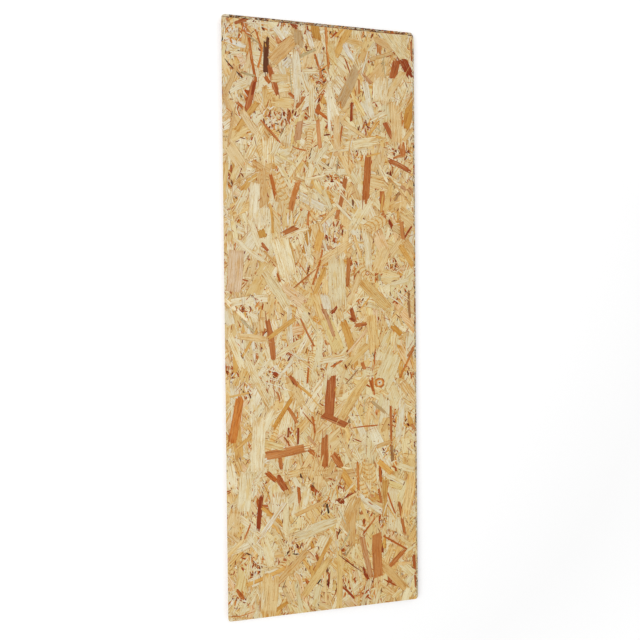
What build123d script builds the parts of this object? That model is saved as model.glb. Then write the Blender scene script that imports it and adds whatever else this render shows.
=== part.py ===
from build123d import *
import os

# Oriented strand board: one sheet, pressed from wood strands and sawn square.
# It lies flat, with its better face up. X runs across its width, Y along its
# length and Z through its thickness. The origin is the middle of the underside.

# The sheet, in millimetres
board_length = 1829.0
board_width = 607.0
board_thickness = 18.0

# The saw leaves sharp arrises, and handling breaks them by this much
arris_break = 0.6

# Each corner has been knocked and rubbed round by its own amount. Far corners
# are at the +Y end and near ones at the -Y end; left is -X and right is +X.
far_left_wear_across = 11.0
far_left_wear_along = 13.0
far_right_wear_across = 13.0
far_right_wear_along = 24.0
near_right_wear_across = 8.5
near_right_wear_along = 11.5
near_left_wear_across = 7.5
near_left_wear_along = 10.5


def corner_curve(side, end, wear_across, wear_along, start_angle):
    """A quarter of an ellipse that leads from one straight edge into the next."""
    centre_x = side * (board_width / 2 - wear_across)
    centre_y = end * (board_length / 2 - wear_along)
    return EllipticalCenterArc(
        center=(centre_x, centre_y),
        x_radius=wear_across,
        y_radius=wear_along,
        start_angle=start_angle,
        arc_size=90,
    )


def sheet_outline():
    """The four worn corners, joined by the four sawn edges."""
    right, left, far, near = 1, -1, 1, -1
    corners = [
        corner_curve(right, far, far_right_wear_across, far_right_wear_along, 0),
        corner_curve(left, far, far_left_wear_across, far_left_wear_along, 90),
        corner_curve(left, near, near_left_wear_across, near_left_wear_along, 180),
        corner_curve(right, near, near_right_wear_across, near_right_wear_along, 270),
    ]
    outline = Curve()
    for corner, following in zip(corners, corners[1:] + corners[:1]):
        outline += corner
        outline += Line(corner @ 1, following @ 0)
    return outline


def make_board():
    """The outline raised to the sheet's thickness, with its arrises broken."""
    sheet = extrude(make_face(sheet_outline()), amount=board_thickness)
    faces = sheet.faces().sort_by(Axis.Z)
    rims = faces[0].edges() + faces[-1].edges()
    return chamfer(rims, length=arris_break)


os.makedirs("parts", exist_ok=True)
board = make_board()
export_step(board, "parts/osb_board.step")
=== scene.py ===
# %% [markdown]
# # A sheet of oriented strand board
#
# The real board is a mat of wood strands. Each strand is about as long as a hand
# and as thin as card. They are coated with resin, laid mostly along the sheet,
# pressed hot into one flat panel and sawn square. So the look of the board is the
# look of many overlapping strands, and this lesson builds them one by one.
#
# The first cell loads the plain sheet that was made to size. Every strand that is
# laid later stays inside that sheet's box.

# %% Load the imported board
import math
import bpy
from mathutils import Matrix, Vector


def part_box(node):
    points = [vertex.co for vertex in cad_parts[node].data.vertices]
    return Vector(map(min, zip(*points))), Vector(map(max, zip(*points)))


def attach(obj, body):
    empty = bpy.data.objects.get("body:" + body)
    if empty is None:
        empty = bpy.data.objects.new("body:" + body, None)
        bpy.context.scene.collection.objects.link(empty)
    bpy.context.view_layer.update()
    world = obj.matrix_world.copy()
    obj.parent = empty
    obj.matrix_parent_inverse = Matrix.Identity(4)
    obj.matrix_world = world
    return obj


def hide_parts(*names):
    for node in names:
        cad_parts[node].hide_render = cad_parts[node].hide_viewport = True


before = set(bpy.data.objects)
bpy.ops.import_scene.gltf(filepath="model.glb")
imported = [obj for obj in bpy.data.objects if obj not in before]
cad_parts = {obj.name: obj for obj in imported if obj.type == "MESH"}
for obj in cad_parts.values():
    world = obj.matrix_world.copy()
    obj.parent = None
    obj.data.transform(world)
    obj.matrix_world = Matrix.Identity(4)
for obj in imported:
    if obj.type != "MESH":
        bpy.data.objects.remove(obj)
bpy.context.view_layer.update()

from types import SimpleNamespace

import bmesh
import bpy
import numpy as np

MM = 0.001
CAD_NODE = "osb_board"
low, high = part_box(CAD_NODE)
WIDTH, LENGTH, THICKNESS = ((b - a) / MM for a, b in zip(low, high))
print("sheet in mm:", round(WIDTH), "x", round(LENGTH), "x", round(THICKNESS))

# %% [markdown]
# ## The camera
#
# The photo shows the sheet's face nearly square on, from a little to its left, so
# its left side looks taller than its right. The sheet lies on the floor here, so
# the camera looks down on it from the same side. Its lens follows from how fast
# the top and bottom edges draw together.

# %% Aim the camera
CAMERA_PLACE = (-0.303, 0.014, 1.547)
CAMERA_TURN = (-0.55, -10.78, -0.57)
LENS_PIXELS = 500
FRAME_PIXELS = 640
SENSOR = 36

camera_data = bpy.data.cameras.new("camera")
camera_data.sensor_width = SENSOR
camera_data.lens = SENSOR * LENS_PIXELS / FRAME_PIXELS
camera = bpy.data.objects.new("camera", camera_data)
camera.location = CAMERA_PLACE
camera.rotation_euler = [math.radians(angle) for angle in CAMERA_TURN]
bpy.context.collection.objects.link(camera)
bpy.context.scene.camera = camera
print("lens in mm:", round(camera_data.lens, 1))

# %% [markdown]
# ## The floor and the light
#
# A plain white floor and broad soft lamps show the board without glare. One large
# lamp hangs to the left, where the photo is brightest, and a weaker one to the
# right. The world fills the shadows. Their levels are set so that a colour renders
# about as it is written. The floor looks white to the camera, also far off where
# the lamps don't reach, but near the board it still takes a soft shadow.

# %% Lay the floor and hang the lamps
FLOOR_SIZE = 14
FLOOR_DROP = 0.0003
FLOOR_COLOUR = (0.84, 0.84, 0.84, 1)
FLOOR_ROUGHNESS = 0.9
FLOOR_GLOSS = 0.1
FLOOR_LIFT = 0.22
FAR_FLOOR_LIFT = 0.6
LAMPS_REACH = (1.2, 3.5)
LAMPS = {
    "key_lamp": {"place": (-1.9, -0.1, 2.5), "size": 1.8, "power": 38.6},
    "fill_lamp": {"place": (1.3, 1.4, 2.4), "size": 2.2, "power": 11.2},
}
WORLD_LEVEL = 0.66
WHITE = (1, 1, 1, 1)


def link(tree, source, output, target, socket):
    """Joins one node's output to another node's input."""
    tree.links.new(source.outputs[output], target.inputs[socket])


def add_node(tree, kind, inputs=None, **settings):
    """Adds a node, with its settings and the values of its unlinked inputs."""
    node = tree.nodes.new(kind)
    for name, value in settings.items():
        setattr(node, name, value)
    for name, value in (inputs or {}).items():
        node.inputs[name].default_value = value
    return node


def seen_directly(tree):
    """A value of 1 for rays that show a thing itself, in a mirror or through glass."""
    path = add_node(tree, "ShaderNodeLightPath")
    camera_or_glossy = add_node(tree, "ShaderNodeMath", operation="MAXIMUM")
    link(tree, path, "Is Camera Ray", camera_or_glossy, 0)
    link(tree, path, "Is Glossy Ray", camera_or_glossy, 1)
    any_of_three = add_node(tree, "ShaderNodeMath", operation="MAXIMUM")
    link(tree, camera_or_glossy, 0, any_of_three, 0)
    link(tree, path, "Is Transmission Ray", any_of_three, 1)
    return any_of_three


def new_material(name):
    """A new material, its node tree and its shader."""
    material = bpy.data.materials.new(name)
    material.use_nodes = True
    tree = material.node_tree
    return material, tree, tree.nodes["Principled BSDF"]


def floor_material():
    """White to the eye, and a plain matt floor to the light."""
    material, tree, shader = new_material("studio_floor")
    shader.inputs["Base Color"].default_value = FLOOR_COLOUR
    shader.inputs["Roughness"].default_value = FLOOR_ROUGHNESS
    shader.inputs["Specular IOR Level"].default_value = FLOOR_GLOSS
    shader.inputs["Emission Color"].default_value = WHITE
    place = add_node(tree, "ShaderNodeTexCoord")
    distance = add_node(tree, "ShaderNodeVectorMath", operation="LENGTH")
    link(tree, place, "Object", distance, 0)
    near, far = LAMPS_REACH
    reach = {"From Min": near, "From Max": far, "To Min": FLOOR_LIFT, "To Max": FAR_FLOOR_LIFT}
    level = add_node(tree, "ShaderNodeMapRange", reach)
    link(tree, distance, "Value", level, "Value")
    lift = add_node(tree, "ShaderNodeMath", operation="MULTIPLY")
    link(tree, seen_directly(tree), 0, lift, 0)
    link(tree, level, "Result", lift, 1)
    link(tree, lift, 0, shader, "Emission Strength")
    return material


def lay_floor():
    """One large plane just under the board."""
    mesh = bpy.data.meshes.new("studio_floor")
    plane = bmesh.new()
    bmesh.ops.create_grid(plane, x_segments=1, y_segments=1, size=FLOOR_SIZE / 2)
    bmesh.ops.translate(plane, verts=plane.verts, vec=(0, 0, -FLOOR_DROP))
    plane.to_mesh(mesh)
    plane.free()
    mesh.materials.append(floor_material())
    floor = bpy.data.objects.new("studio_floor", mesh)
    bpy.context.collection.objects.link(floor)


def hang_lamp(name, place, size, power):
    """A square soft lamp that points at the middle of the board."""
    data = bpy.data.lights.new(name, "AREA")
    data.shape = "SQUARE"
    data.size = size
    data.energy = power
    lamp = bpy.data.objects.new(name, data)
    lamp.location = place
    direction = -lamp.location
    lamp.rotation_euler = direction.to_track_quat("-Z", "Y").to_euler()
    lamp.visible_camera = False
    bpy.context.collection.objects.link(lamp)


def light_world():
    """A white surround that fills the shadows evenly."""
    world = bpy.data.worlds.new("studio")
    world.use_nodes = True
    tree = world.node_tree
    background = tree.nodes["Background"]
    background.inputs["Color"].default_value = WHITE
    seen = seen_directly(tree)
    level = add_node(tree, "ShaderNodeMapRange", {"To Min": WORLD_LEVEL, "To Max": 1.0})
    link(tree, seen, 0, level, "Value")
    link(tree, level, "Result", background, "Strength")
    bpy.context.scene.world = world


lay_floor()
light_world()
for lamp_name, lamp_settings in LAMPS.items():
    hang_lamp(lamp_name, **lamp_settings)
bpy.context.scene.view_settings.view_transform = "Standard"

# %% [markdown]
# ## The tones of the wood
#
# Pine sapwood is cream to straw, heartwood is honey to red brown, and bark side
# strands are dark. Each tone is written as the screen colour that the eye sees,
# and turned into the linear colour that the renderer works with. The numbers
# after each colour say how strongly growth rings show in such a strand, and
# whether they arch, as they do where the knife met the side of a ring.

# %% Name the tones
TONES = {
    "white": ((219, 211, 186), 0.4, 0),
    "cream": ((221, 209, 174), 0.6, 0),
    "straw": ((219, 205, 164), 0.7, 0),
    "pale yellow": ((218, 197, 142), 0.8, 0),
    "honey": ((216, 191, 141), 0.9, 0),
    "striped honey": ((216, 188, 130), 1.4, 0),
    "arched honey": ((218, 195, 145), 1.6, 1),
    "tan": ((208, 175, 120), 1.0, 0),
    "golden": ((209, 166, 94), 1.0, 0),
    "golden brown": ((194, 144, 68), 1.0, 0),
    "pink tan": ((218, 191, 150), 0.8, 0),
    "red tan": ((204, 148, 96), 0.9, 0),
    "pink brown": ((192, 148, 106), 0.8, 0),
    "grey beige": ((190, 162, 117), 0.9, 0),
    "grey green": ((184, 170, 130), 0.6, 0),
    "cool grey": ((178, 168, 146), 0.4, 0),
    "grey brown": ((162, 122, 80), 0.8, 0),
    "orange brown": ((199, 129, 60), 0.9, 0),
    "brown tan": ((188, 126, 70), 1.0, 0),
    "rust": ((180, 102, 42), 0.9, 0),
    "red brown": ((170, 97, 50), 1.2, 0),
    "brown": ((180, 111, 57), 1.2, 0),
    "dark red": ((146, 64, 24), 0.7, 0),
    "dark brown": ((96, 55, 28), 1.0, 0),
    "deep rust": ((162, 76, 20), 0.5, 0),
    "deep red": ((116, 42, 10), 0.5, 0),
    "bark": ((64, 44, 28), 0.4, 0),
}


def linear(screen_colour):
    """The linear colour of a screen colour from 0 to 255, by the usual screen curve."""
    parts = np.asarray(screen_colour, float) / 255
    return np.where(parts <= 0.04045, parts / 12.92, ((parts + 0.055) / 1.055) ** 2.4)


print("tones:", len(TONES))

# %% [markdown]
# ## Strand blanks
#
# A flaking machine slices strands off a log with a knife. Their sides split
# along the grain and stay nearly straight. Their ends are torn, slanted or drawn
# out to a point. About a hundred blanks, each a closed slab, are enough for
# thousands of strands, because each strand is stretched, slanted and bent anew.
#
# A blank starts as a grid. Its inner edges are dissolved, which leaves one face
# with points round its rim. Moving the rim points shapes the strand, and an
# extrusion gives it thickness. How far an end is torn is kept apart from the
# outline, because a tear grows with a strand's width and not with its length.
# Blender may list the faces of a bmesh in another order in each run, so they are
# put in one order before they are kept.

# %% Cut the blanks
draw = np.random.default_rng(11)
RIM_STARTS = 0.49
OUTWARD_TEAR = 0.2
LEAST_PINCH = 0.6
SIDE_SHIFT = 0.06


def in_order(faces):
    """The point numbers of each face, in the same order in every run."""
    return sorted([point.index for point in face.verts] for face in faces)


def cut_blank(side_parts, end_parts, tear, pinch, waver):
    """A slab one unit long, wide and thick. Returns its points, tears and faces."""
    blank = bmesh.new()
    bmesh.ops.create_grid(blank, x_segments=side_parts, y_segments=end_parts, size=0.5)
    bmesh.ops.dissolve_faces(blank, faces=blank.faces[:])
    torn = blank.verts.layers.float.new("torn")
    for point in blank.verts:
        if abs(point.co.x) > RIM_STARTS:
            point[torn] = math.copysign(draw.uniform(-tear, tear * OUTWARD_TEAR), point.co.x)
            point.co.y *= 1 - pinch * draw.uniform(LEAST_PINCH, 1.0)
        elif abs(point.co.y) > RIM_STARTS:
            point.co.y += draw.uniform(-waver, waver)
            point.co.x += draw.uniform(-SIDE_SHIFT, SIDE_SHIFT)
    lifted = bmesh.ops.extrude_face_region(blank, geom=blank.faces[:])
    raised = [item for item in lifted["geom"] if isinstance(item, bmesh.types.BMVert)]
    bmesh.ops.translate(blank, verts=raised, vec=(0, 0, 1))
    bmesh.ops.recalc_face_normals(blank, faces=blank.faces[:])
    blank.verts.index_update()
    made = SimpleNamespace(
        points=np.array([point.co[:] for point in blank.verts]),
        torn=np.array([point[torn] for point in blank.verts]),
        faces=in_order(blank.faces),
    )
    blank.free()
    return made


def cut_blanks(count, **shape):
    """Several blanks of one kind."""
    return [cut_blank(**shape) for _ in range(count)]


BLANKS = {
    "clean": cut_blanks(14, side_parts=3, end_parts=2, tear=0.12, pinch=0.04, waver=0.03),
    "torn": cut_blanks(14, side_parts=4, end_parts=4, tear=0.6, pinch=0.12, waver=0.05),
    "frayed": cut_blanks(16, side_parts=6, end_parts=8, tear=0.8, pinch=0.10, waver=0.05),
    "tapered": cut_blanks(12, side_parts=4, end_parts=2, tear=0.5, pinch=0.62, waver=0.07),
    "sliver": cut_blanks(10, side_parts=3, end_parts=1, tear=0.9, pinch=0.7, waver=0.12),
    "crumb": cut_blanks(16, side_parts=2, end_parts=1, tear=0.7, pinch=0.6, waver=0.16),
    "disc": cut_blanks(4, side_parts=4, end_parts=2, tear=0.06, pinch=0.55, waver=0.02),
    "edge": cut_blanks(12, side_parts=3, end_parts=1, tear=1.2, pinch=0.6, waver=0.14),
}
for kind, blanks in BLANKS.items():
    print(kind, len(blanks), "blanks of", len(blanks[0].faces), "faces")

# %% [markdown]
# ## Making strands
#
# A strand is a blank with a place, a turn, a size and a tone. Its colour differs
# a little from its tone's, as no two strands are alike, and the photo's board is a
# little warmer towards its near right corner. It also gets a seed, the gap between
# its growth rings and how much they arch, which the wood material reads later.

# %% Make one strand
UPRIGHT = math.pi / 2
STRAND_THICKNESS = 0.6
SAW_WANDER = 0.3
BRIGHTNESS_SPREAD = 0.035
WARMTH_SPREAD = 0.018
WARMTH_OF_CORNER = 0.05
RED_OF_WARMTH = 0.5
BLUE_OF_WARMTH = 2
SLANT_SPREAD = 0.25
BOW_SPREAD = 0.012
HIGHEST_SEED = 50
BOLDEST_RINGS = 2.4
RING_GAPS = (3.0, 10.0)
CHANCE_OF_ARCHES = 0.07


def make_strand(kind, tone, place, turn, length, width, **more):
    """One strand, lying at a place on a side of the sheet, in millimetres."""
    colour, rings, arch = TONES[tone]
    brightness = draw.normal(1.0, BRIGHTNESS_SPREAD)
    toward_near_right = place[0] / WIDTH - place[1] / LENGTH
    warmth = draw.normal(0.0, WARMTH_SPREAD) + WARMTH_OF_CORNER * toward_near_right
    warm_tint = np.array([1 + RED_OF_WARMTH * warmth, 1.0, 1 - BLUE_OF_WARMTH * warmth])
    shade = linear(colour) * brightness * warm_tint
    strand = SimpleNamespace(
        blank=BLANKS[kind][draw.integers(len(BLANKS[kind]))],
        x=place[0],
        y=place[1],
        turn=turn,
        length=length,
        width=width,
        tone=np.clip(shade, 0, 1),
        slant=draw.normal(0, SLANT_SPREAD),
        bow=draw.normal(0, BOW_SPREAD) * length,
        thickness=STRAND_THICKNESS,
        seed=draw.uniform(0, HIGHEST_SEED),
        rings=rings * BOLDEST_RINGS * draw.random() ** 2,
        gap=draw.uniform(*RING_GAPS),
        arch=float(arch or draw.random() < CHANCE_OF_ARCHES),
        top=0.0,
        level=0,
        trim=SAW_WANDER * draw.random() ** 2,
        stops=[],
    )
    vars(strand).update(more)
    return strand


def pick(weights):
    """One name out of a table of names and weights."""
    names = list(weights)
    shares = np.array([weights[name] for name in names], float)
    return names[draw.choice(len(names), p=shares / shares.sum())]


# %% [markdown]
# ## Piling the strands up
#
# Where strands overlap, one has to lie over the other by a hair, or both would
# share one height and flicker. The face is split into small cells, and each cell
# remembers which of a hundred levels are taken in it. A new strand takes a level
# that is free in every cell below it, and goes higher where its own levels are
# full. The whole pile is only a millimetre and a half deep, because the press has
# flattened it. Strands that end up buried can never be seen, so they are left out.

# %% Find a free level for each strand
CELL = 4.0
WELL_WITHIN = -0.9 * CELL
JUST_BEYOND = 0.4 * CELL
LEVEL_STEP = 0.015
LEVEL_JITTER = 0.3
TOP_LEVEL = 100


class Pile:
    """The levels that are taken in each cell of one side of the sheet."""

    def __init__(self, across, along):
        self.half_across = across / 2
        self.half_along = along / 2
        cells = (math.ceil(across / CELL) + 1, math.ceil(along / CELL) + 1)
        self.taken = np.zeros(cells, object)
        self.covered = np.zeros(cells, int)

    def cells_of(self, strand, beyond=CELL):
        """The cells within a strand's rim or a little beyond it, as two index lists."""
        reach = (strand.length + strand.width) / 2 + CELL
        spans = []
        middles = ((strand.x, self.half_across), (strand.y, self.half_along))
        for (middle, half), count in zip(middles, self.taken.shape):
            first = max(int((middle + half - reach) / CELL), 0)
            last = min(int((middle + half + reach) / CELL) + 1, count)
            spans.append(np.arange(first, max(last, first)))
        i, j = np.meshgrid(*spans, indexing="ij")
        x = i * CELL - self.half_across - strand.x
        y = j * CELL - self.half_along - strand.y
        along = x * math.cos(strand.turn) + y * math.sin(strand.turn)
        across = y * math.cos(strand.turn) - x * math.sin(strand.turn)
        near_along = abs(along) < strand.length / 2 + beyond
        near_across = abs(across) < strand.width / 2 + beyond
        inside = near_along & near_across
        return i[inside], j[inside]

    def settle(self, strand, lowest, highest, on_top=False):
        """Puts a strand on a free level, or over all that lies there already."""
        cells = self.cells_of(strand)
        taken = np.bitwise_or.reduce(self.taken[cells]) if len(cells[0]) else 0
        if on_top:
            level = min(max(taken.bit_length(), lowest), highest)
        else:
            free = [k for k in range(lowest, TOP_LEVEL) if not taken >> k & 1]
            low = [k for k in free if k < highest]
            level = low[draw.integers(len(low))] if low else min(free, default=TOP_LEVEL)
        self.taken[cells] |= 1 << level
        within = self.cells_of(strand, WELL_WITHIN)
        self.covered[within] = np.maximum(self.covered[within], level)
        strand.level = level
        strand.top = (level - TOP_LEVEL) * LEVEL_STEP - draw.uniform(0, LEVEL_JITTER) * LEVEL_STEP

    def shows(self, strand):
        """Whether any part of a strand is left uncovered."""
        return bool(np.any(self.covered[self.cells_of(strand, JUST_BEYOND)] <= strand.level))


# %% [markdown]
# ## Scattering the mat
#
# The strands of the mat fall where they will. Each kind has its own table of tones,
# with a weight for how often each tone turns up. Pale tones lead among the large
# strands, and the small pieces carry most of the red and dark wood.

# %% Weigh the tones of each kind
STRAND_TONES = {
    "white": 1.4, "cream": 26, "straw": 26, "pale yellow": 4, "honey": 20, "striped honey": 9,
    "arched honey": 3, "tan": 5, "golden": 2.5, "pink tan": 3.5,
}
LOW_STRAND_TONES = STRAND_TONES | {
    "golden": 6, "golden brown": 3, "red tan": 4, "orange brown": 4, "deep rust": 5,
    "red brown": 4, "brown": 3, "deep red": 1.6,
}
SPLINTER_TONES = {
    "white": 13, "cream": 26, "straw": 15, "pale yellow": 4, "honey": 10, "tan": 6, "golden": 10,
    "golden brown": 2, "red tan": 3, "orange brown": 5, "brown tan": 3, "deep rust": 4,
    "red brown": 2, "brown": 1, "grey green": 1, "deep red": 0.7,
}
SHARD_TONES = {
    "white": 10, "cream": 20, "straw": 10, "honey": 7, "golden": 9, "golden brown": 3,
    "red tan": 5, "orange brown": 10, "deep rust": 14, "red brown": 7, "brown": 3, "deep red": 6,
    "dark brown": 0.6,
}
WIDE_KINDS = {"clean": 4, "torn": 5, "frayed": 2}
NARROW_KINDS = {"clean": 4, "torn": 5, "tapered": 2}
# Tones of the dark spots: dark wood that also paints the shade of small holes in the mat.
PIT_SHADE_TONES = {"deep rust": 4, "red brown": 3, "deep red": 8, "dark brown": 4, "bark": 1}
# Speck tones: real wood bits, whose dark ones also paint the shade at strand rims.
SPECK_AND_SHADE_TONES = {
    "deep rust": 9, "orange brown": 7, "golden brown": 6, "red brown": 4, "deep red": 7,
    "dark brown": 1.2, "golden": 4, "white": 4, "cream": 4,
}
THREAD_TONES = {
    "white": 7, "cream": 8, "honey": 2, "golden": 2, "orange brown": 4, "deep rust": 6,
    "red brown": 3, "deep red": 3, "dark brown": 1,
}
PATCH_TONES = {
    "white": 15, "cream": 16, "straw": 6, "golden": 8, "orange brown": 9, "red brown": 6,
    "deep rust": 14, "deep red": 9, "dark brown": 2.5, "bark": 0.7,
}
WARM_SPECK_TONES = {
    "deep rust": 6, "orange brown": 5, "golden brown": 4, "red brown": 3, "deep red": 2,
}

# %% [markdown]
# ## Large strands
#
# Most strands lie within about thirty degrees of the sheet's length, and a
# quarter of them lie anyhow. They are five to forty-four millimetres wide. A wide
# one keeps its square ends more often, and a narrow one may run out to a point.

# %% Scatter the large strands
WIDTHS_SPREAD = 0.5
FLAKE_WIDTHS = (5, 44)
WIDE_FLAKE = 14
FLAKE_LENGTH, FLAKE_LENGTH_SPREAD = 80, 24
SHORTEST_FLAKE, LONGEST_FLAKE = 34, 135
SHORTEST_PER_WIDTH = 1.6


def usually(usual, spread, least, most):
    """A size that is mostly near the usual one, and now and then far above it."""
    return float(np.clip(draw.lognormal(math.log(usual), spread), least, most))


def lie_of_strand(spread=27, anyhow=0.24):
    """The angle of a strand, counted from the sheet's width."""
    if draw.random() < anyhow:
        return draw.uniform(0, math.pi)
    return UPRIGHT + draw.normal(0, math.radians(spread))


def place_in(across, along):
    """A place anywhere on a side that measures across by along."""
    return draw.uniform(-across / 2, across / 2), draw.uniform(-along / 2, along / 2)


def scatter_flakes(count, across, along, tones=STRAND_TONES, usual_width=13):
    """The large strands that make up the mat."""
    flakes = []
    for _ in range(count):
        width = usually(usual_width, WIDTHS_SPREAD, *FLAKE_WIDTHS)
        shortest = max(SHORTEST_FLAKE, SHORTEST_PER_WIDTH * width)
        length = draw.normal(FLAKE_LENGTH, FLAKE_LENGTH_SPREAD)
        length = float(np.clip(length, shortest, LONGEST_FLAKE))
        kind = pick(WIDE_KINDS if width > WIDE_FLAKE else NARROW_KINDS)
        place = place_in(across, along)
        flakes.append(make_strand(kind, pick(tones), place, lie_of_strand(), length, width))
    return flakes


# %% [markdown]
# ## Splinters, threads and specks
#
# Thin splinters break off the strands in bundles that stay nearly side by side.
# Single ones, as thin as threads, lie about as well. Specks and short slivers lie
# along the rims of strands, where the wood below shows; the darker ones also stand
# in as painted shade of the small gap there.

# %% Scatter splinters, threads and specks
SPECK_BESIDE = (-0.4, 1.4)
SPECK_TURN_SPREAD = 0.2
SPECK_WIDTHS = (1.1, 3.1)
SPECK_SHAPES = (1.5, 6.0)
THREAD_LENGTHS = (9, 42)
THREAD_WIDTHS = (0.8, 1.9)
BUNDLE_SPREAD_ACROSS, BUNDLE_SPREAD_ALONG = 8, 15
BUNDLE_TURN_SPREAD = math.radians(10)
BUNDLE_NUMBERS = (3, 10)
SAME_TONE = 0.6
SPLINTER_WIDTHS = (1.0, 4.6)
SPLINTER_LENGTH, SPLINTER_LENGTH_SPREAD = 36, 0.45
SPLINTER_LENGTHS = (10, 95)


def beside(strand, along, across):
    """The place on a side that is so far along and across a strand from its middle."""
    cosine, sine = math.cos(strand.turn), math.sin(strand.turn)
    return strand.x + along * cosine - across * sine, strand.y + along * sine + across * cosine


def scatter_specks_and_shade(flakes, tones=SPECK_AND_SHADE_TONES, most=5):
    """Specks and thin slivers along the rims of flakes, where deeper wood shows; the dark ones also
    paint the shade of the gap there.
    """
    specks = []
    for flake in flakes:
        for _ in range(draw.integers(0, most + 1)):
            side = draw.choice((-1, 1))
            across = side * (flake.width / 2 + draw.uniform(*SPECK_BESIDE))
            place = beside(flake, draw.uniform(-0.5, 0.5) * flake.length, across)
            turn = flake.turn + draw.normal(0, SPECK_TURN_SPREAD)
            width = draw.uniform(*SPECK_WIDTHS)
            length = width * draw.uniform(*SPECK_SHAPES)
            specks.append(make_strand("crumb", pick(tones), place, turn, length, width))
    return specks


def scatter_threads(count, across, along):
    """Single splinters as thin as threads, pale ones and red ones."""
    threads = []
    for _ in range(count):
        place = place_in(across, along)
        length, width = draw.uniform(*THREAD_LENGTHS), draw.uniform(*THREAD_WIDTHS)
        tone = pick(THREAD_TONES)
        threads.append(make_strand("sliver", tone, place, lie_of_strand(), length, width))
    return threads


def make_bundle(place, lie, tone, count):
    """Thin splinters that broke off one strand and lie nearly side by side."""
    splinters = []
    for _ in range(count):
        x = place[0] + draw.normal(0, BUNDLE_SPREAD_ACROSS)
        y = place[1] + draw.normal(0, BUNDLE_SPREAD_ALONG)
        width = draw.uniform(*SPLINTER_WIDTHS)
        length = usually(SPLINTER_LENGTH, SPLINTER_LENGTH_SPREAD, *SPLINTER_LENGTHS)
        own_tone = tone if draw.random() < SAME_TONE else pick(SPLINTER_TONES)
        turn = lie + draw.normal(0, BUNDLE_TURN_SPREAD)
        splinters.append(make_strand("sliver", own_tone, (x, y), turn, length, width))
    return splinters


def scatter_bundles(count, across, along):
    """Bundles of splinters all over a side."""
    splinters = []
    for _ in range(count):
        place = place_in(across, along)
        number = draw.integers(*BUNDLE_NUMBERS)
        splinters += make_bundle(place, lie_of_strand(), pick(SPLINTER_TONES), number)
    return splinters


# %% [markdown]
# ## Shards and dark spots
#
# Short pointed shards fill in between the strands. The smallest and darkest ones
# mark the spots where the mat was not quite filled, as painted shade in dark wood tones.

# %% Scatter shards and dark spots
NARROWEST_SHARD, WIDEST_SHARD, WIDEST_SHADED_PIT = 1.3, 5.4, 1.9
SHARD_SHAPES = (1.4, 3.8)
SHARD_LIE = {"spread": 32, "anyhow": 0.2}


def make_shard(place, tones=SHARD_TONES, widest=WIDEST_SHARD):
    """A short pointed piece."""
    width = draw.uniform(NARROWEST_SHARD, widest)
    length = width * draw.uniform(*SHARD_SHAPES)
    return make_strand("crumb", pick(tones), place, lie_of_strand(**SHARD_LIE), length, width)


def scatter_shards(count, across, along):
    """Shards all over a side."""
    return [make_shard(place_in(across, along)) for _ in range(count)]


def scatter_shaded_pits(count, across, along):
    """Small dark spots of dark wood, also painted shade where the mat was not quite filled."""
    return [make_shard(place_in(across, along), PIT_SHADE_TONES, WIDEST_SHADED_PIT) for _ in range(count)]
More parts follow.
